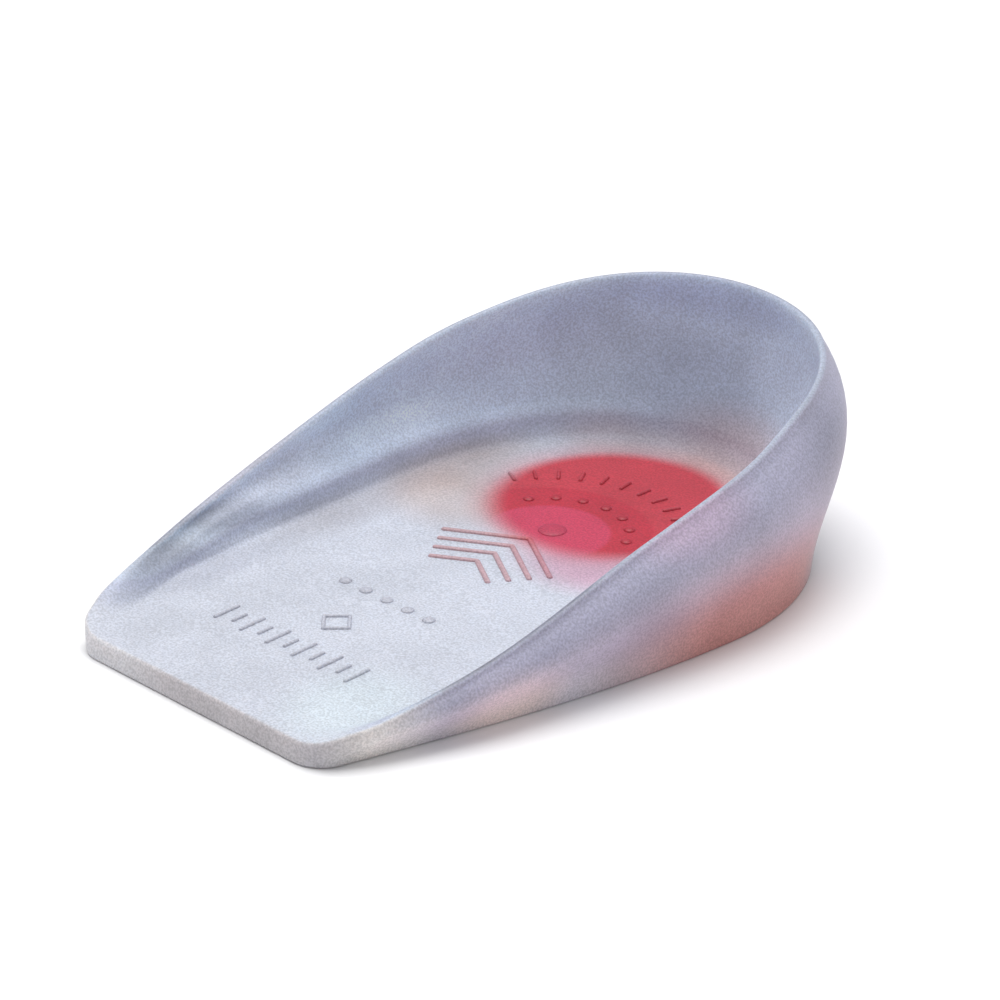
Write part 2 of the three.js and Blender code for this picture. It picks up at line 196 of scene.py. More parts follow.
def readTable(table, column, along, key="along"):
    # smooth between the rows, with no overshoot
    last = len(table) - 1
    at = clamp(along, table[0][key], table[last][key])

    def slope(i):
        return (table[i + 1][column] - table[i][column]) / (table[i + 1][key] - table[i][key])

    def tangent(i):
        if i == 0 or i == last:
            return slope(min(i, last - 1))
        before, after = slope(i - 1), slope(i)
        return 0.0 if before * after <= 0 else 2 * before * after / (before + after)

    row = 0
    while row < last - 1 and at > table[row + 1][key]:
        row += 1
    span = table[row + 1][key] - table[row][key]
    t = (at - table[row][key]) / span
    first, second = table[row][column], table[row + 1][column]
    value = first * (2 * t ** 3 - 3 * t ** 2 + 1) + second * (3 * t ** 2 - 2 * t ** 3)
    return value + span * (tangent(row) * (t ** 3 - 2 * t ** 2 + t) + tangent(row + 1) * (t ** 3 - t ** 2))


def halfOutline():
    # half of the sole, from the middle of the front edge round to the back of the heel
    front, heel = cupShape["frontHalfWidth"], cupShape["heelHalfWidth"]
    corner = cupShape["frontCornerRadius"]
    power = 2 / cupShape["heelSquareness"]
    flankAngle = math.atan((heel - front) * math.pi / 2 / (heelStart - corner))
    cornerX = front - corner * math.cos(flankAngle)
    flankStart = corner - corner * math.sin(flankAngle)
    points = [(cornerX * i / fineness["front"], 0.0) for i in range(fineness["front"])]
    for i in range(fineness["corner"]):
        angle = -math.pi / 2 + (math.pi / 2 - flankAngle) * i / fineness["corner"]
        points.append((cornerX + corner * math.cos(angle), corner + corner * math.sin(angle)))
    for i in range(fineness["flank"]):
        t = i / fineness["flank"]
        x = front + (heel - front) * math.sin(t * math.pi / 2)
        points.append((x, flankStart + (heelStart - flankStart) * t))
    for i in range(fineness["heel"] + 1):
        angle = math.pi / 2 * i / fineness["heel"]
        x = 0.0 if i == fineness["heel"] else heel * math.cos(angle) ** power
        points.append((x, heelStart + cupShape["heelArcLength"] * math.sin(angle) ** power))
    return points


def outlineStations():
    right = halfOutline()
    loop = right + [(-x, y) for x, y in reversed(right[1:-1])]
    stations = []
    for i, (x, y) in enumerate(loop):
        before, after = loop[i - 1], loop[(i + 1) % len(loop)]
        run = Vector((after[0] - before[0], after[1] - before[1])).normalized()
        point = Vector((x, y))
        meet = Vector((0.0, clamp(y, cupShape["frontSpread"], heelStart)))
        stations.append({
            "point": point,
            "outward": Vector((run.y, -run.x)),
            "inward": (meet - point).normalized(),
            "along": clamp(y / soleLength, 0.0, 1.0),
        })
    return stations


def rimHeight(along):
    low = cupShape["frontHeight"]
    return low + (heelHeight - low) * readTable(wallStations, "height", along)


def floorLevel(y):
    low = cupShape["frontHeight"]
    return low + (cupShape["floorThickness"] - low) * readTable(floorStations, "rise", y / soleLength)


def outerOffset(along, z):
    share = clamp(z / rimHeight(along), 0.0, 1.0)
    lean = cupShape["rimLean"] * readTable(wallStations, "lean", along) + cupShape["rimWidth"] / 2
    bulge = cupShape["wallBulge"] * readTable(wallStations, "bulge", along)
    wave = math.sin(math.pi * share ** cupShape["bulgeLevel"])
    return lean * share + bulge * max(wave, 0.0) ** cupShape["bulgeFullness"]


def outerSection(station):
    # rows of (offset, inset, z) from the sole's edge up the wall to the top of the rim
    along, edge = station["along"], cupShape["soleEdgeRadius"]
    top, rimRadius = rimHeight(along), cupShape["rimWidth"] / 2
    rows = []
    for i in range(fineness["edge"]):
        angle = math.pi / 2 * i / fineness["edge"]
        z = edge * (1 - math.cos(angle))
        rows.append((outerOffset(along, z) - edge * (1 - math.sin(angle)), 0.0, z))
    wallTop = top - rimRadius
    for i in range(fineness["wall"] + 1):
        z = edge + (wallTop - edge) * i / fineness["wall"]
        rows.append((outerOffset(along, z), 0.0, z))
    rimMiddle = outerOffset(along, wallTop) - rimRadius
    for i in range(1, fineness["rim"] + 1):
        angle = math.pi / 2 * i / fineness["rim"]
        rows.append((rimMiddle + rimRadius * math.cos(angle), 0.0, wallTop + rimRadius * math.sin(angle)))
    return rows


def bowlSection(station, footOffset, floorEdge, rimMiddle):
    # a full wall: down from the rim, over the shoulder and down the foot of the bowl
    along, body = station["along"], readTable(wallStations, "body", station["along"])
    top, rimRadius = rimHeight(along), cupShape["rimWidth"] / 2
    innerTop = top - rimRadius
    depth = max(innerTop - floorEdge, cupShape["innerDepthLeast"])
    fullness = depth / (depth ** 4 + cupShape["fullBowlDepth"] ** 4) ** 0.25
    shoulder = floorEdge + cupShape["shoulderHeight"] * fullness
    shoulderInset = cupShape["shoulderThickness"] * body + cupShape["frontShoulderThickness"] * (1 - body)
    footInset = cupShape["footWallThickness"] * body + cupShape["frontFootThickness"] * (1 - body)
    rows = []
    for i in range(1, fineness["rim"]):
        angle = math.pi / 2 * i / fineness["rim"]
        rows.append((rimMiddle, rimRadius * math.sin(angle), innerTop + rimRadius * math.cos(angle)))
    inner = []
    for i in range(fineness["upperWall"]):
        t = i / fineness["upperWall"]
        spread = (shoulderInset - cupShape["rimWidth"]) * t ** cupShape["shoulderSoftness"]
        inner.append((cupShape["rimWidth"] + spread, innerTop + (shoulder - innerTop) * t))
    steps = [{"step": i, **row} for i, row in enumerate(bowlRows)]
    ledge = readTable(wallStations, "ledge", along)
    for i in range(fineness["bowl"] + 1):
        step = i * (len(bowlRows) - 1) / fineness["bowl"]
        level = readTable(steps, "level", step, "step")
        reach = readTable(steps, "reach", step, "step")
        roundReach = readTable(steps, "roundReach", step, "step")
        share = roundReach + (reach - roundReach) * ledge
        inset = shoulderInset + (footInset - shoulderInset) * share
        inner.append((inset, floorEdge + (shoulder - floorEdge) * level))
    for inset, z in inner:
        t = clamp((innerTop - z) / depth, 0.0, 1.0)
        hollow = cupShape["innerHollow"] * fullness * math.sin(math.pi * t)
        rows.append((rimMiddle + (footOffset - rimMiddle) * t + hollow, inset - rimRadius, z))
    return rows


def lipSection(station, footOffset, floorEdge, rimMiddle, count):
    # a low wall near the front: one soft slope from the rim to the floor
    drop = max(rimHeight(station["along"]) - floorEdge, 0.0)
    rows = []
    for i in range(1, count + 1):
        t = i / count
        offset = rimMiddle + (footOffset - rimMiddle) * t
        rows.append((offset, cupShape["lipReach"] * t, floorEdge + drop * (1 - smoothStep(t, 0.0, 1.0))))
    return rows


def sectionAt(station):
    point, outward, inward, along = (station[key] for key in ("point", "outward", "inward", "along"))
    floorEdge, rimRadius = floorLevel(point.y), cupShape["rimWidth"] / 2
    footOffset = outerOffset(along, floorEdge) - rimRadius
    rimMiddle = outerOffset(along, rimHeight(along) - rimRadius) - rimRadius
    bowl = bowlSection(station, footOffset, floorEdge, rimMiddle)
    lip = lipSection(station, footOffset, floorEdge, rimMiddle, len(bowl))
    fullness = smoothStep(rimHeight(along) - floorEdge, cupShape["lipDepth"], cupShape["fullBowlDepth"])
    inner = [tuple(a + (b - a) * fullness for a, b in zip(*pair)) for pair in zip(lip, bowl)]
    section = []
    for offset, inset, z in outerSection(station) + inner:
        spot = point + outward * offset + inward * inset
        section.append(Vector((spot.x, spot.y, z)))
    return section


def meshObject(name, points, faces):
    mesh = bpy.data.meshes.new(name)
    mesh.from_pydata(points, [], faces)
    mesh.validate()
    mesh.polygons.foreach_set("use_smooth", [True] * len(mesh.polygons))
    piece = bpy.data.objects.new(name, mesh)
    bpy.context.scene.collection.objects.link(piece)
    return piece


def skinOverRings(name, rings, firstPole, lastPole):
    # rings of equal length from the first pole to the last, all counter-clockwise from above
    count = len(rings[0])
    points = [tuple(point) for ring in rings for point in ring] + [tuple(firstPole), tuple(lastPole)]
    faces = []
    for r in range(len(rings) - 1):
        low, high = r * count, (r + 1) * count
        for i in range(count):
            after = (i + 1) % count
            faces.append((low + i, low + after, high + after, high + i))
    pole, lastRing = len(points) - 2, (len(rings) - 1) * count
    for i in range(count):
        after = (i + 1) % count
        faces.append((pole, after, i))
        faces.append((pole + 1, lastRing + i, lastRing + after))
    return meshObject(name, points, faces)


def recessRings(stations):
    # from the middle of the recess's roof, down its wall and out over the sole
    radius = plugRadius + cupShape["plugClearance"]
    edge = plugShape["edgeRadius"] + cupShape["plugClearance"]
    roof = plugTop + cupShape["plugClearance"]
    mouth = Vector((0.0, plugPlace))
    ways = [(station["point"] - mouth).normalized() for station in stations]
    rows = [(radius * share, roof) for share in recessShape["roofRows"]]
    for i in range(fineness["recess"] + 1):
        angle = math.pi / 2 * i / fineness["recess"]
        rows.append((radius - edge + edge * math.sin(angle), roof - edge + edge * math.cos(angle)))
    chamfer = recessShape["mouthChamfer"]
    rows += [(radius, roof * recessShape["wallRow"]), (radius, chamfer), (radius + chamfer, 0.0)]
    rings = []
    for across, z in rows:
        rings.append([Vector((way.x * across, plugPlace + way.y * across, z)) for way in ways])
    return rings, Vector((0.0, plugPlace, roof))


def buildCup():
    stations = outlineStations()
    sections = [sectionAt(station) for station in stations]
    rings = [[section[level] for section in sections] for level in range(len(sections[0]))]
    floorEdge, soleEdge = rings[-1], rings[0]
    middleY = soleLength * cupShape["floorMiddle"]
    for i in range(fineness["floor"]):
        share = 1 - ((i + 1) / (fineness["floor"] + 1)) ** cupShape["floorSpacing"]
        ring = []
        for edge in floorEdge:
            y = middleY + (edge.y - middleY) * share
            dish = (edge.z - floorLevel(edge.y)) * share ** cupShape["floorBlend"]
            ring.append(Vector((edge.x * share, y, floorLevel(y) + dish)))
        rings.append(ring)
    recess, roofMiddle = recessRings(stations)
    mouth = recess[-1]
    sole = []
    for i in range(1, fineness["sole"] + 1):
        share = i / (fineness["sole"] + 1)
        sole.append([a.lerp(b, share) for a, b in zip(mouth, soleEdge)])
    below = recess + sole
    floorMiddle = Vector((0.0, middleY, floorLevel(middleY)))
    piece = skinOverRings("silicone_cup", below + rings, roofMiddle, floorMiddle)
    piece.data.transform(Matrix.Translation((0.0, frontEdge, 0.0)))
    paintWrap(piece, len(below), len(sections[0]), stations)
    return piece


def paintWrap(piece, ringsBelow, sectionRows, stations):
    # "climb" runs from 0 on the floor to 1 at the rim of a full wall, and "descent" from 0 at the
    # rim to 1 at the sole. The silicone's painted light and shade follow both.
    count = len(stations)
    outerRows = fineness["edge"] + fineness["wall"] + 1 + fineness["rim"]
    depths = [rimHeight(station["along"]) - floorLevel(station["point"].y) for station in stations]
    full = [smoothStep(depth, cupShape["paintedShadeStart"], cupShape["paintedShadeFull"]) for depth in depths]
    climb = piece.data.attributes.new("climb", "FLOAT", "POINT")
    descent = piece.data.attributes.new("descent", "FLOAT", "POINT")
    for index in range(len(piece.data.vertices)):
        row, column = index // count - ringsBelow, index % count
        if row < 0 or index == len(piece.data.vertices) - 2:
            descent.data[index].value = 1.0
        elif row < outerRows:
            descent.data[index].value = 1.0 - (row + 1) / outerRows
            climb.data[index].value = full[column]
        elif row < sectionRows:
            down = (row + 1 - outerRows) / (sectionRows - outerRows)
            climb.data[index].value = full[column] * (1.0 - down)


cup = buildCup()
print("cup built:", len(cup.data.polygons), "faces, width", round(cup.dimensions.x / mm, 2),
      "length", round(cup.dimensions.y / mm, 2))


# The soft red plug in the recess under the heel, a lathed disc with a rounded upper edge
def buildPlug():
    radius, edge, bevel = plugRadius, plugShape["edgeRadius"], plugShape["mouthBevel"]
    dimple, softening = plugShape["dimple"], bevel * plugShape["bevelSoftening"]
    rows = []
    for share in plugShape["underRows"]:
        rows.append((radius * share, dimple * (1 - share ** plugShape["dimplePower"])))
    rows += [(radius - bevel, 0.0), (radius - softening, softening), (radius, bevel)]
    for i in range(plugShape["edgeSteps"] + 1):
        angle = math.pi / 2 * i / plugShape["edgeSteps"]
        rows.append((radius - edge + edge * math.cos(angle), plugTop - edge + edge * math.sin(angle)))
    rows += [(radius * share, plugTop) for share in plugShape["topRows"]]
    angles = [2 * math.pi * i / plugShape["sides"] for i in range(plugShape["sides"])]
    ways = [(math.cos(angle), math.sin(angle)) for angle in angles]
    rings = [[Vector((x * across, plugPlace + y * across, z)) for x, y in ways] for across, z in rows]
    lowMiddle, topMiddle = Vector((0.0, plugPlace, dimple)), Vector((0.0, plugPlace, plugTop))
    piece = skinOverRings("gel_plug", rings, lowMiddle, topMiddle)
    piece.data.transform(Matrix.Translation((0.0, frontEdge, 0.0)))
    return piece


plug = buildPlug()
print("plug built")


# Shader and geometry trees are put together with these. A value is a number or another node's socket.
def join(tree, socket, value):
    if isinstance(value, bpy.types.NodeSocket):
        tree.links.new(value, socket)
    elif value is not None:
        socket.default_value = value


def addNode(tree, kind, values=(), **settings):
    node = tree.nodes.new(kind)
    for key, value in settings.items():
        setattr(node, key, value)
    pairs = values.items() if isinstance(values, dict) else enumerate(values)
    for key, value in pairs:
        join(tree, node.inputs[key], value)
    return node


def sums(tree, operation, *values):
    return addNode(tree, "ShaderNodeMath", values, operation=operation).outputs[0]


def vectorSums(tree, operation, *values):
    node = addNode(tree, "ShaderNodeVectorMath", values, operation=operation)
    return node.outputs["Value" if operation in ("LENGTH", "DISTANCE") else "Vector"]


def scaled(tree, vector, share):
    node = addNode(tree, "ShaderNodeVectorMath", {0: vector, "Scale": share}, operation="SCALE")
    return node.outputs["Vector"]


def fade(tree, value, low, high, atLow=0.0, atHigh=1.0):
    # smooth change from one value to another between two levels
    node = addNode(tree, "ShaderNodeMapRange", interpolation_type="SMOOTHSTEP", clamp=True)
    for socket, setting in zip(node.inputs[:5], (value, low, high, atLow, atHigh)):
        join(tree, socket, setting)
    return node.outputs[0]


def blend(tree, share, first, second, kind="MIX"):
    node = tree.nodes.new("ShaderNodeMix")
    node.data_type, node.blend_type, node.clamp_factor = "RGBA", kind, True
    for socket, value in zip((node.inputs[0], node.inputs[6], node.inputs[7]), (share, first, second)):
        join(tree, socket, value if isinstance(value, (float, bpy.types.NodeSocket)) else (*value, 1.0))
    return node.outputs[2]


# Milky silicone. Tints are shares of the milk colour. The wall's tints are painted light and shade,
# running up the inside from the floor to the rim (painted shade in a band at the foot of the bowl, a
# painted highlight over the upper wall and shoulder, and painted shade at the rim) and down the outside
# to the sole (painted shade by the rim, lighter and warmer towards the sole).
siliconeLook = {
    "milk": (0.55, 0.57, 0.65),
    "insideLightAndShade": [
        (0.00, (1.01, 1.02, 1.01)),
        (0.10, (0.88, 0.90, 0.94)),
        (0.24, (0.84, 0.87, 0.95)),
        (0.40, (1.05, 1.16, 1.23)),
        (0.56, (1.16, 1.31, 1.38)),
        (0.84, (1.12, 1.31, 1.40)),
        (0.93, (0.84, 0.91, 0.98)),
        (1.00, (0.64, 0.68, 0.74)),
    ],
    "outsideLightAndShade": [
        (0.00, (0.66, 0.69, 0.75)),
        (0.12, (0.73, 0.71, 0.79)),
        (0.26, (0.78, 0.74, 0.84)),
        (0.48, (0.94, 0.80, 0.88)),
        (0.84, (1.10, 1.00, 0.96)),
        (1.00, (1.12, 1.08, 1.02)),
    ],
    "frontTint": (0.99, 0.91, 0.83),      # the front face, which has no wall over it
    "rimSplit": 0.1,             # over this share of the way down, the outside's tints take over
    "patchCore": 0.25,           # the share of a patch's reach that has its full tint
    "roughness": 0.52,
    "scatter": 0.35,
    "scatterReach": 3.0 * mm,
    "grainSize": 0.30,           # mm
    "grainContrast": 0.16,
    "grainDepth": 0.02 * mm,
    "cloudSize": 9,              # mm
    "cloudContrast": 0.05,
}
# Soft patches of tint, most of them painted light and shade: painted shade at the back of the heel's
# bowl, along the bowl's foot and over the shoulder near the front, painted highlights along the
# shoulder and on the outside's lower wall, and besides them warm, beige and pink tints round the red
# spot. The columns: on which side of the wall, whether on both halves of the cup, where (in
# millimetres from the middle of the cup), how far they reach and what they multiply the milk by
patchColumns = ("side", "both", "place", "reach", "tint")
shadeAndStainRows = [
    # painted shade at the back of the heel's bowl
    ("inside", False, (-16, 46, 14), (32, 28, 20), (0.84, 0.84, 0.84)),
    ("inside", False, (-7, 48, 13), (18, 16, 12), (0.78, 0.78, 0.81)),
    ("inside", False, (3, 45, 7), (18, 14, 9), (1.04, 0.82, 0.74)),
    ("inside", False, (-15, 38, 6), (13, 10, 5), (0.88, 0.77, 0.74)),
    ("inside", False, (-25, 18, 5), (12, 19, 4), (0.80, 0.69, 0.63)),
    ("inside", False, (-17, 8, 5), (14, 12, 5), (0.91, 0.79, 0.72)),
    ("inside", False, (11, 6, 5), (14, 10, 5), (0.98, 0.62, 0.70)),
    ("inside", False, (1, 41, 5.5), (11, 6, 3), (0.85, 0.80, 0.78)),
    ("inside", False, (18, -43, 4), (12, 14, 5), (1.07, 1.13, 1.09)),
    ("inside", False, (-8, 50, 28), (24, 16, 6), (0.84, 0.83, 0.87)),
    ("inside", False, (-30, 9, 12), (8, 16, 3.2), (1.16, 1.14, 1.13)),
    # painted shade along the bowl's foot on the far half
    ("inside", False, (-24, -4, 5), (7, 19, 3), (0.80, 0.77, 0.76)),
    ("inside", False, (-23, -30, 4.6), (5, 22, 1.6), (0.85, 0.85, 0.87)),
    # painted shade over the shoulder's ridge near the front, on both halves
    ("inside", True, (27, -37, 6.9), (14, 10, 2.4), (0.64, 0.60, 0.60)),
    ("inside", True, (28, -24, 8.7), (14, 11, 2.2), (0.64, 0.62, 0.64)),
    ("inside", True, (28, -32, 8.5), (12, 12, 3.2), (0.84, 0.82, 0.80)),
    ("inside", False, (-25.6, -23, 6.4), (3, 11, 2.2), (1.20, 1.20, 1.17)),
    ("inside", False, (-29, -17, 12.5), (6, 22, 6), (1.06, 0.97, 0.94)),
    ("inside", False, (-20, 7, 5.6), (5, 9, 2), (1.09, 1.08, 1.06)),
    ("outside", False, (24, -52, 2.5), (7, 6, 5), (0.90, 0.91, 0.93)),
    ("inside", False, (30, -24, 13), (10, 26, 9), (0.58, 0.55, 0.57)),
    ("outside", True, (34, 18, 2), (18, 36, 15), (0.98, 0.48, 0.40)),
    ("outside", True, (33, -6, 7), (8, 14, 7), (0.87, 0.85, 0.88)),
    ("outside", True, (31, -27, 3), (12, 12, 7), (1.34, 1.18, 1.02)),
    ("outside", True, (28, -45, 2), (14, 10, 8), (1.38, 1.38, 1.27)),
    ("outside", True, (31, 4, 20), (8, 14, 7), (1.24, 1.03, 1.04)),
    ("outside", True, (29, 34, 19), (12, 11, 11), (0.81, 0.82, 0.82)),
    ("outside", False, (-18, -54, 2), (14, 8, 8), (1.28, 1.32, 1.32)),
]
shadeAndStainPatches = [dict(zip(patchColumns, row)) for row in shadeAndStainRows]

# The red plug seen through the floor, with rings about a centre ahead of the plug's own.
# Its edge is soft at the front and crisper at the heel.
spotLook = {
    "frontEdge": 2.6,            # mm
    "heelEdge": 1.5,
    "haloReach": 5.2,
    "halo": (0.97, 0.57, 0.57),
    "crispFrom": 0.5,            # from here on the edge is crisp, in plug radii behind its middle
    "floorEnds": (0.10, 0.30),   # where on the wall the red fades out
    "ringCentreAhead": 12.8,
    "ringEdge": 0.5,
    "discRadius": 8.6,
    "disc": (0.52, 0.040, 0.092),
    "ringRadius": 14.6,
    "ring": (0.455, 0.020, 0.041),
    "warm": (0.475, 0.034, 0.053),
}
noiseSpan = (0.3, 0.7)                # the levels between which nearly all of a noise lies
scatterShares = (1.0, 0.85, 0.75)     # red light goes furthest in silicone


def millimetres(tree):
    spot = tree.nodes.new("ShaderNodeTexCoord").outputs["Object"]
    return vectorSums(tree, "MULTIPLY", spot, (1 / mm, 1 / mm, 1 / mm))


# a ramp of painted light and shade along the wall
def wallLightAndShade(tree, place, rows):
    ramp = tree.nodes.new("ShaderNodeValToRGB")
    ramp.color_ramp.interpolation = "EASE"
    stops = ramp.color_ramp.elements
    brightest = max(max(tint) for _, tint in rows)
    for i, (level, tint) in enumerate(rows):
        stop = stops[i] if i < 2 else stops.new(level)
        stop.position = level
        stop.color = (*[part / brightest for part in tint], 1.0)
    join(tree, ramp.inputs[0], place)
    return scaled(tree, ramp.outputs[0], brightest)


def shadedAndStained(tree, colour, spot, outside):
    parts = tree.nodes.new("ShaderNodeSeparateXYZ")
    join(tree, parts.inputs[0], spot)
    folded = tree.nodes.new("ShaderNodeCombineXYZ")
    for socket, value in zip(folded.inputs, (sums(tree, "ABSOLUTE", parts.outputs[0]), *parts.outputs[1:])):
        join(tree, socket, value)
    inside = sums(tree, "SUBTRACT", 1.0, outside)
    # multiply in each patch: painted light and shade, and the tints round the red spot
    for patch in shadeAndStainPatches:
        away = vectorSums(tree, "SUBTRACT", folded.outputs[0] if patch["both"] else spot, patch["place"])
        away = vectorSums(tree, "DIVIDE", away, patch["reach"])
        share = fade(tree, vectorSums(tree, "LENGTH", away), siliconeLook["patchCore"], 1.0, 1.0, 0.0)
        share = sums(tree, "MULTIPLY", share, inside if patch["side"] == "inside" else outside)
        tint = blend(tree, share, (1.0, 1.0, 1.0), patch["tint"])
        colour = vectorSums(tree, "MULTIPLY", colour, tint)
    return colour


def spotted(tree, colour, spot, climb, outside):
    plugY = (plugPlace + frontEdge) / mm
    ringY = plugY - spotLook["ringCentreAhead"]
    flat = vectorSums(tree, "MULTIPLY", spot, (1.0, 1.0, 0.0))
    fromPlug = vectorSums(tree, "DISTANCE", flat, (0.0, plugY, 0.0))
    fromRing = vectorSums(tree, "DISTANCE", flat, (0.0, ringY, 0.0))
    radius, thin = plugRadius / mm, spotLook["ringEdge"]
    onWall = fade(tree, climb, *spotLook["floorEnds"], 1.0, 0.0)
    onFloor = sums(tree, "MULTIPLY", onWall, sums(tree, "SUBTRACT", 1.0, outside))
    disc, ring = spotLook["discRadius"], spotLook["ringRadius"]
    discShare = fade(tree, fromRing, disc - thin, disc + thin, 1.0, 0.0)
    ringShare = fade(tree, fromRing, ring - thin, ring + thin, 1.0, 0.0)
    red = blend(tree, ringShare, spotLook["warm"], spotLook["ring"])
    red = blend(tree, discShare, red, spotLook["disc"])
    parts = tree.nodes.new("ShaderNodeSeparateXYZ")
    join(tree, parts.inputs[0], spot)
    soft, crisp = spotLook["frontEdge"], spotLook["heelEdge"]
    edge = fade(tree, parts.outputs[1], plugY - radius, plugY + radius * spotLook["crispFrom"], soft, crisp)
    within, beyond = (sums(tree, operation, radius, edge) for operation in ("SUBTRACT", "ADD"))
    plugShare = fade(tree, fromPlug, within, beyond, 1.0, 0.0)
    haloShare = fade(tree, fromPlug, radius - crisp, radius + spotLook["haloReach"], 1.0, 0.0)
    halo = blend(tree, sums(tree, "MULTIPLY", haloShare, onFloor), (1.0, 1.0, 1.0), spotLook["halo"])
    colour = vectorSums(tree, "MULTIPLY", colour, halo)
    return blend(tree, sums(tree, "MULTIPLY", plugShare, onFloor), colour, red)


def noise(tree, spot, size, detail):
    values = {"Vector": spot, "Scale": 1 / size, "Detail": detail}
    return addNode(tree, "ShaderNodeTexNoise", values).outputs[0]


def grained(tree, colour, spot):
    # a fine frosted speckle, and slow clouds in the milk
    grain = noise(tree, spot, siliconeLook["grainSize"], 2.0)
    cloud = noise(tree, spot, siliconeLook["cloudSize"], 1.0)
    fine, slow = siliconeLook["grainContrast"], siliconeLook["cloudContrast"]
    speckle = fade(tree, grain, *noiseSpan, 1 - fine, 1 + fine)
    haze = fade(tree, cloud, *noiseSpan, 1 - slow, 1 + slow)
    return scaled(tree, colour, sums(tree, "MULTIPLY", speckle, haze)), grain


def newMaterial(name, roughness):
    material = bpy.data.materials.new(name)
    material.use_nodes = True
    shader = material.node_tree.nodes["Principled BSDF"]
    shader.inputs["Roughness"].default_value = roughness
    return material, material.node_tree, shader


def softenSurface(shader, scatter, reach):
    shader.inputs["Subsurface Weight"].default_value = scatter
    shader.inputs["Subsurface Radius"].default_value = scatterShares
    shader.inputs["Subsurface Scale"].default_value = reach


def addGrainBump(tree, shader, height, depth):
    bump = addNode(tree, "ShaderNodeBump", {"Height": height, "Strength": 1.0, "Distance": depth})
    join(tree, shader.inputs["Normal"], bump.outputs[0])


def makeSilicone(name, tint):
    material, tree, shader = newMaterial(name, siliconeLook["roughness"])
    spot = millimetres(tree)
    climb = addNode(tree, "ShaderNodeAttribute", attribute_name="climb").outputs["Fac"]
    descent = addNode(tree, "ShaderNodeAttribute", attribute_name="descent").outputs["Fac"]
    outside = fade(tree, descent, 0.0, siliconeLook["rimSplit"])
    # painted light and shade up the inside and down the outside of the wall
    inner, outer = (wallLightAndShade(tree, place, siliconeLook[side]) for place, side in
                    ((climb, "insideLightAndShade"), (descent, "outsideLightAndShade")))
    outer = blend(tree, climb, siliconeLook["frontTint"], outer)
    colour = vectorSums(tree, "MULTIPLY", blend(tree, outside, inner, outer), siliconeLook["milk"])
    colour = shadedAndStained(tree, colour, spot, outside)
    colour = vectorSums(tree, "MULTIPLY", spotted(tree, colour, spot, climb, outside), tint)
    colour, grain = grained(tree, colour, spot)
    join(tree, shader.inputs["Base Color"], colour)
    softenSurface(shader, siliconeLook["scatter"], siliconeLook["scatterReach"])
    addGrainBump(tree, shader, grain, siliconeLook["grainDepth"])
    return material


plugLook = {"red": (0.62, 0.065, 0.10), "darkRed": (0.48, 0.035, 0.06), "cloudSize": 5, "grainSize": 0.4,
            "roughness": 0.42, "scatter": 0.4, "scatterReach": 2.5 * mm, "grainDepth": 0.015 * mm}


def makeRedGel():
    material, tree, shader = newMaterial("red_gel", plugLook["roughness"])
    spot = millimetres(tree)
    cloud = noise(tree, spot, plugLook["cloudSize"], 2.0)
    grain = noise(tree, spot, plugLook["grainSize"], 2.0)
    share = fade(tree, cloud, *noiseSpan)
    join(tree, shader.inputs["Base Color"], blend(tree, share, plugLook["red"], plugLook["darkRed"]))
    softenSurface(shader, plugLook["scatter"], plugLook["scatterReach"])
    addGrainBump(tree, shader, grain, plugLook["grainDepth"])
    return material


# The raised marks are darker along their lines, greyish at the front and warmer by the heel
markTints = {"plain": (1.0, 1.0, 1.0), "grey": (0.86, 0.83, 0.84), "warm": (0.92, 0.56, 0.54)}
silicone = makeSilicone("frosted_silicone", markTints["plain"])
greyMarks = makeSilicone("grey_marks", markTints["grey"])
warmMarks = makeSilicone("warm_marks", markTints["warm"])
cup.data.materials.append(silicone)
plug.data.materials.append(makeRedGel())
print("materials made")


# Geometry Nodes for the cast relief. Every mark is draped on the cup's floor.
plumbLine = {"from": 0.1, "length": 0.2}      # metres above the mark, and down from there
beadDetail = {"step": 0.2, "sides": 14, "leastSize": 0.05}      # step and least size are shares of a line
pipDetail = {"segments": 28, "rings": 14}


def newTree(name, inputs):
    tree = bpy.data.node_groups.new(name, "GeometryNodeTree")
    tree.interface.new_socket("Geometry", in_out="INPUT", socket_type="NodeSocketGeometry")
    for label, kind in inputs:
        tree.interface.new_socket(label, in_out="INPUT", socket_type="NodeSocket" + kind)
    tree.interface.new_socket("Geometry", in_out="OUTPUT", socket_type="NodeSocketGeometry")
    return tree, tree.nodes.new("NodeGroupInput").outputs, tree.nodes.new("NodeGroupOutput").inputs


def aboveFloor(tree, floor):
    # where a plumb line from the point meets the floor
    place = tree.nodes.new("GeometryNodeInputPosition").outputs[0]
    source = vectorSums(tree, "ADD", place, (0.0, 0.0, plumbLine["from"]))
    surface = addNode(tree, "GeometryNodeObjectInfo", {"Object": floor}, transform_space="RELATIVE")
    ray = addNode(tree, "GeometryNodeRaycast", {
        "Target Geometry": surface.outputs["Geometry"],
        "Source Position": source,
        "Ray Direction": (0.0, 0.0, -1.0),
        "Ray Length": plumbLine["length"],
    })
    return ray.outputs["Hit Position"]


def finishTree(tree, geometry, material, output):
    whole = addNode(tree, "GeometryNodeRealizeInstances", {"Geometry": geometry})
    smooth = addNode(tree, "GeometryNodeSetShadeSmooth", {
        "Geometry": whole.outputs[0], "Shade Smooth": True})
    painted = addNode(tree, "GeometryNodeSetMaterial", {
        "Geometry": smooth.outputs[0], "Material": material})
    join(tree, output, painted.outputs[0])


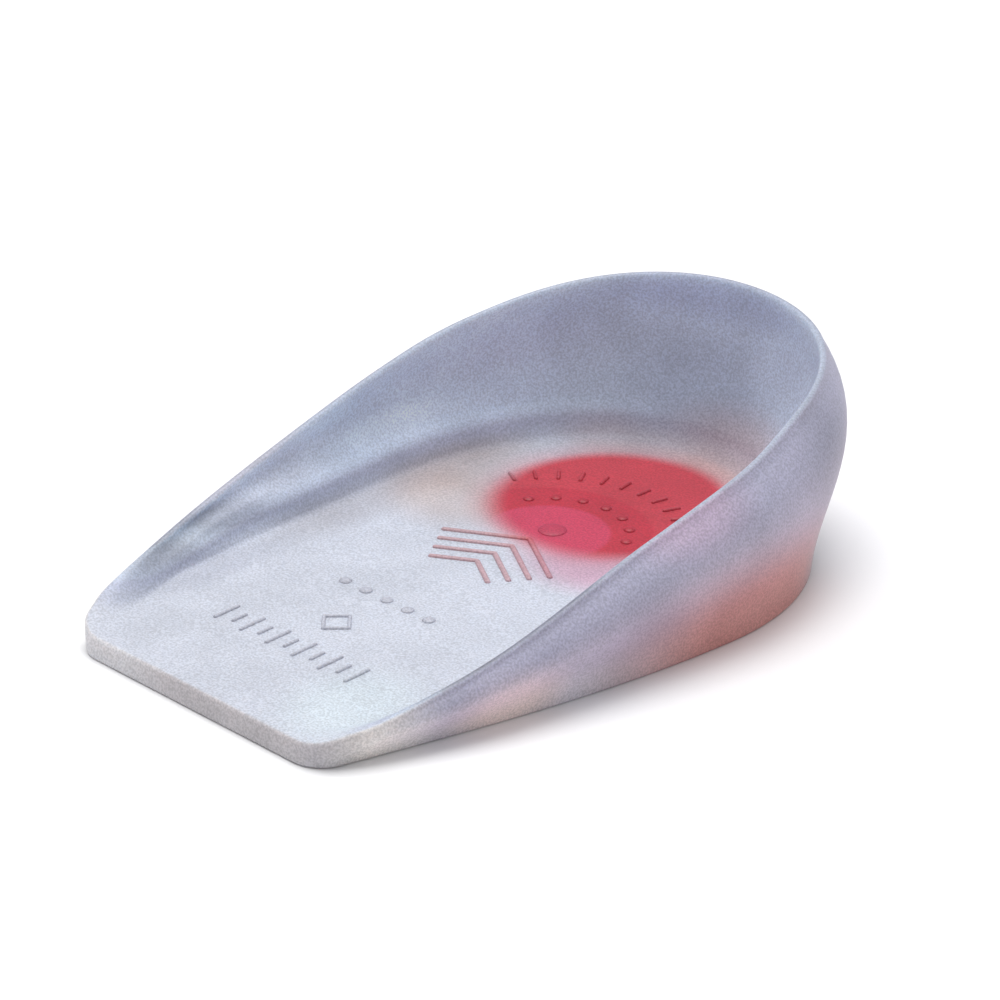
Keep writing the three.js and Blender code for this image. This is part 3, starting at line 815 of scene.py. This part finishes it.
def makeDrapedLine():
    # a half-round bead along any curve, with rounded ends
    tree, given, out = newTree("drapedLine", [
        ("Floor", "Object"), ("Line Width", "Float"), ("Line Height", "Float"), ("Material", "Material")])
    fine = addNode(tree, "GeometryNodeResampleCurve", {"Curve": given["Geometry"]}, mode="LENGTH")
    join(tree, fine.inputs["Length"], sums(tree, "MULTIPLY", given["Line Width"], beadDetail["step"]))
    draped = addNode(tree, "GeometryNodeSetPosition", {"Geometry": fine.outputs[0]})
    join(tree, draped.inputs["Position"], aboveFloor(tree, given["Floor"]))
    upright = addNode(tree, "GeometryNodeSetCurveNormal", {"Curve": draped.outputs[0]}, mode="Z_UP")
    along = tree.nodes.new("GeometryNodeSplineParameter").outputs["Length"]
    whole = tree.nodes.new("GeometryNodeSplineLength").outputs["Length"]
    cyclic = tree.nodes.new("GeometryNodeInputSplineCyclic").outputs[0]
    toEnd = sums(tree, "MINIMUM", along, sums(tree, "SUBTRACT", whole, along))
    radius = sums(tree, "MULTIPLY", given["Line Width"], 0.5)
    short = sums(tree, "SUBTRACT", 1.0, sums(tree, "MINIMUM", sums(tree, "DIVIDE", toEnd, radius), 1.0))
    rounded = sums(tree, "SQRT", sums(tree, "SUBTRACT", 1.0, sums(tree, "POWER", short, 2.0)))
    size = sums(tree, "MAXIMUM", sums(tree, "MAXIMUM", rounded, cyclic), beadDetail["leastSize"])
    ring = addNode(tree, "GeometryNodeCurvePrimitiveCircle", {"Resolution": beadDetail["sides"]})
    join(tree, ring.inputs["Radius"], 1.0)
    stretch = tree.nodes.new("ShaderNodeCombineXYZ")
    for socket, value in zip(stretch.inputs, (radius, given["Line Height"], 1.0)):
        join(tree, socket, value)
    profile = addNode(tree, "GeometryNodeTransform", {
        "Geometry": ring.outputs[0], "Scale": stretch.outputs[0]})
    bead = addNode(tree, "GeometryNodeCurveToMesh", {
        "Curve": upright.outputs[0], "Profile Curve": profile.outputs[0], "Scale": size, "Fill Caps": True})
    finishTree(tree, bead.outputs[0], given["Material"], out["Geometry"])
    return tree


def pointsAlong(tree, given):
    path = addNode(tree, "GeometryNodeMeshToCurve", {"Mesh": given["Geometry"]})
    settings = {"Curve": path.outputs[0], "Count": given["Count"]}
    return addNode(tree, "GeometryNodeCurveToPoints", settings, mode="COUNT")


def makeMarkRow(drapedLine):
    # marks across a path: bars when Drop is 0, and chevrons otherwise
    tree, given, out = newTree("markRow", [
        ("Count", "Int"), ("Reach", "Float"), ("Drop", "Float"),
        ("End Share", "Float"), ("Odd Share", "Float"), ("Floor", "Object"),
        ("Line Width", "Float"), ("Line Height", "Float"), ("Material", "Material")])
    points = pointsAlong(tree, given)
    tangent = {"Vector": points.outputs["Tangent"]}
    turn = addNode(tree, "FunctionNodeAlignRotationToVector", tangent, axis="Y")
    wings = []
    for side in (-1.0, 1.0):
        end = tree.nodes.new("ShaderNodeCombineXYZ")
        join(tree, end.inputs[0], sums(tree, "MULTIPLY", given["Reach"], side))
        join(tree, end.inputs[1], sums(tree, "MULTIPLY", given["Drop"], -1.0))
        wings.append(end.outputs[0])
    mark = addNode(tree, "GeometryNodeCurvePrimitiveLine", {"Start": wings[0], "End": wings[1]})
    bent = addNode(tree, "GeometryNodeResampleCurve", {"Curve": mark.outputs[0], "Count": 3}, mode="COUNT")
    index = tree.nodes.new("GeometryNodeInputIndex").outputs[0]
    isTip = addNode(tree, "FunctionNodeCompare", {2: index, 3: 1}, data_type="INT", operation="EQUAL")
    lift = tree.nodes.new("ShaderNodeCombineXYZ")
    join(tree, lift.inputs[1], given["Drop"])
    tip = addNode(tree, "GeometryNodeSetPosition", {
        "Geometry": bent.outputs[0], "Selection": isTip.outputs[0], "Offset": lift.outputs[0]})
    last = sums(tree, "MAXIMUM", sums(tree, "SUBTRACT", given["Count"], 1.0), 1.0)
    share = sums(tree, "DIVIDE", index, last)
    odd = sums(tree, "MODULO", index, 2.0)
    sizes = []
    for part, label in ((share, "End Share"), (odd, "Odd Share")):
        extra = sums(tree, "SUBTRACT", given[label], 1.0)
        sizes.append(sums(tree, "ADD", 1.0, sums(tree, "MULTIPLY", part, extra)))
    size = sums(tree, "MULTIPLY", *sizes)
    placed = addNode(tree, "GeometryNodeInstanceOnPoints", {
        "Points": points.outputs["Points"], "Instance": tip.outputs[0],
        "Rotation": turn.outputs[0], "Scale": size})
    lines = addNode(tree, "GeometryNodeRealizeInstances", {"Geometry": placed.outputs[0]})
    beads = addNode(tree, "GeometryNodeGroup", node_tree=drapedLine)
    join(tree, beads.inputs["Geometry"], lines.outputs[0])
    for label in ("Floor", "Line Width", "Line Height", "Material"):
        join(tree, beads.inputs[label], given[label])
    finishTree(tree, beads.outputs[0], given["Material"], out["Geometry"])
    return tree


def makePipRow():
    # low domes along a path
    tree, given, out = newTree("pipRow", [
        ("Count", "Int"), ("Radius", "Float"), ("Floor", "Object"),
        ("Height", "Float"), ("Material", "Material")])
    points = pointsAlong(tree, given)
    draped = addNode(tree, "GeometryNodeSetPosition", {"Geometry": points.outputs["Points"]})
    join(tree, draped.inputs["Position"], aboveFloor(tree, given["Floor"]))
    ball = addNode(tree, "GeometryNodeMeshUVSphere", {
        "Segments": pipDetail["segments"], "Rings": pipDetail["rings"], "Radius": 1.0})
    size = tree.nodes.new("ShaderNodeCombineXYZ")
    for socket, value in zip(size.inputs, (given["Radius"], given["Radius"], given["Height"])):
        join(tree, socket, value)
    placed = addNode(tree, "GeometryNodeInstanceOnPoints", {
        "Points": draped.outputs[0], "Instance": ball.outputs["Mesh"], "Scale": size.outputs[0]})
    finishTree(tree, placed.outputs[0], given["Material"], out["Geometry"])
    return tree


def makeLoopMark(drapedLine):
    # one closed mark along a loop of edges
    tree, given, out = newTree("loopMark", [
        ("Floor", "Object"), ("Line Width", "Float"), ("Line Height", "Float"), ("Material", "Material")])
    loop = addNode(tree, "GeometryNodeMeshToCurve", {"Mesh": given["Geometry"]})
    bead = addNode(tree, "GeometryNodeGroup", node_tree=drapedLine)
    join(tree, bead.inputs["Geometry"], loop.outputs[0])
    for label in ("Floor", "Line Width", "Line Height", "Material"):
        join(tree, bead.inputs[label], given[label])
    finishTree(tree, bead.outputs[0], given["Material"], out["Geometry"])
    return tree


drapedLine = makeDrapedLine()
markRow = makeMarkRow(drapedLine)
loopMark = makeLoopMark(drapedLine)
pipRow = makePipRow()


def growRelief(name, tree, path, closed=False, **values):
    # run a tree on a path in plan (from the cup's front edge) and keep the plain mesh
    mesh = bpy.data.meshes.new(name + "_path")
    points = [(x, y + frontEdge, 0.0) for x, y in path]
    edges = [(i, i + 1) for i in range(len(points) - 1)] + ([(len(points) - 1, 0)] if closed else [])
    mesh.from_pydata(points, edges, [])
    guide = bpy.data.objects.new(name + "_guide", mesh)
    bpy.context.scene.collection.objects.link(guide)
    modifier = guide.modifiers.new("relief", "NODES")
    modifier.node_group = tree
    sockets = {item.name: item.identifier for item in tree.interface.items_tree
               if item.item_type == "SOCKET" and item.in_out == "INPUT"}
    for label, value in {"Floor": cup, "Material": greyMarks, **values}.items():
        modifier[sockets[label]] = value
    grown = guide.evaluated_get(bpy.context.evaluated_depsgraph_get())
    made = bpy.data.meshes.new_from_object(grown)
    piece = bpy.data.objects.new(name, made)
    bpy.context.scene.collection.objects.link(piece)
    guide.modifiers.remove(modifier)
    bpy.data.objects.remove(guide)
    print("relief", name, len(made.polygons), "faces")
    return piece


# Places run from the front edge of the sole, in line with the cup
reliefShape = {
    "lineWidth": 0.55 * mm, "chevronWidth": 0.80 * mm, "lineHeight": 0.32 * mm,
    "ribPlace": 17 * mm, "ribCount": 11, "ribPitch": 2.5 * mm, "ribReach": 2.3 * mm, "shortRibShare": 0.6,
    "diamondPlace": 25 * mm, "diamondReach": 2.4 * mm,
    "pipPlace": 34 * mm, "pipCount": 5, "pipPitch": 4 * mm, "pipRadius": 0.9 * mm,
    "chevronFirst": 50.6 * mm, "chevronLast": 60.5 * mm, "chevronCount": 4,
    "chevronReach": 5.8 * mm, "chevronDrop": 3.6 * mm, "chevronEndShare": 1.81,
    "arcCentreAhead": 11.8 * mm, "arcSpread": 0.7 * math.pi,
    "tickCount": 13, "tickRadius": 18 * mm, "tickReach": 1.4 * mm,
    "targetPipCount": 7, "targetPipArc": 10.5 * mm, "targetPipRadius": 0.8 * mm,
    "middlePipRadius": 2.0 * mm, "middlePath": 0.1 * mm,
}


def arcPath(centreY, radius, spread, steps=48):
    angles = [math.pi / 2 + spread * (0.5 - i / steps) for i in range(steps + 1)]
    return [(radius * math.cos(angle), centreY + radius * math.sin(angle)) for angle in angles]


def buildRelief(shape):
    line = {"Line Width": shape["lineWidth"], "Line Height": shape["lineHeight"]}
    even = {**line, "End Share": 1.0, "Odd Share": 1.0, "Drop": 0.0}
    ribs = {**even, "Odd Share": shape["shortRibShare"]}
    bent = {**even, "Line Width": shape["chevronWidth"], "Material": warmMarks,
            "Drop": shape["chevronDrop"], "End Share": shape["chevronEndShare"]}
    low = {"Height": shape["lineHeight"]}
    halfRow = shape["ribPitch"] * (shape["ribCount"] - 1) / 2
    halfPips = shape["pipPitch"] * (shape["pipCount"] - 1) / 2
    place, reach = shape["diamondPlace"], shape["diamondReach"]
    centreY = plugPlace - shape["arcCentreAhead"]
    ribPath = [(-halfRow, shape["ribPlace"]), (halfRow, shape["ribPlace"])]
    diamondPath = [(reach, place), (0.0, place + reach), (-reach, place), (0.0, place - reach)]
    chevronPath = [(0.0, shape["chevronFirst"]), (0.0, shape["chevronLast"])]
    tickPath = arcPath(centreY, shape["tickRadius"], shape["arcSpread"])
    pipPath = [(-halfPips, shape["pipPlace"]), (halfPips, shape["pipPlace"])]
    targetPath = arcPath(centreY, shape["targetPipArc"], shape["arcSpread"])
    middlePath = [(0.0, centreY), (0.0, centreY + shape["middlePath"])]
    return [
        growRelief("front_ribs", markRow, ribPath,
                   Count=shape["ribCount"], Reach=shape["ribReach"], **ribs),
        growRelief("floor_chevrons", markRow, chevronPath,
                   Count=shape["chevronCount"], Reach=shape["chevronReach"], **bent),
        growRelief("heel_ticks", markRow, tickPath,
                   Count=shape["tickCount"], Reach=shape["tickReach"], **even),
        growRelief("floor_pips", pipRow, pipPath,
                   Count=shape["pipCount"], Radius=shape["pipRadius"], **low),
        growRelief("target_pips", pipRow, targetPath,
                   Count=shape["targetPipCount"], Radius=shape["targetPipRadius"], **low),
        growRelief("target_middle", pipRow, middlePath,
                   Count=1, Radius=shape["middlePipRadius"], **low),
        growRelief("middle_diamond", loopMark, diamondPath, closed=True, **line),
    ]


relief = buildRelief(reliefShape)


# Pale table, soft overhead panel and even light from the room
studio = {"floorSize": 6.0, "floorColour": (0.93, 0.93, 0.935), "floorRoughness": 0.8, "panelSize": 0.7,
          "panelPower": 9.0, "panelPlace": (-0.15, 0.1, 1.0), "room": (0.45, 0.45, 0.46)}


def buildStudio():
    half = studio["floorSize"] / 2
    corners = [(-half, -half, 0), (half, -half, 0), (half, half, 0), (-half, half, 0)]
    table = meshObject("pale_table", corners, [(0, 1, 2, 3)])
    material, tree, shader = newMaterial("pale_table", studio["floorRoughness"])
    shader.inputs["Base Color"].default_value = (*studio["floorColour"], 1.0)
    table.data.materials.append(material)
    world = bpy.data.worlds.new("room")
    world.use_nodes = True
    world.node_tree.nodes["Background"].inputs["Color"].default_value = (*studio["room"], 1.0)
    bpy.context.scene.world = world
    light = bpy.data.lights.new("overhead_panel", "AREA")
    light.size, light.energy = studio["panelSize"], studio["panelPower"]
    panel = bpy.data.objects.new("overhead_panel", light)
    panel.location = studio["panelPlace"]
    panel.rotation_euler = (-Vector(studio["panelPlace"])).to_track_quat("-Z", "Y").to_euler()
    bpy.context.scene.collection.objects.link(panel)
    bpy.context.scene.view_settings.view_transform = "Standard"


buildStudio()
print("table and light set")

for piece in (cup, *relief):
    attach(piece, "root")
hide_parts("cup_body")
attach(plug, "root")
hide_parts("heel_plug")
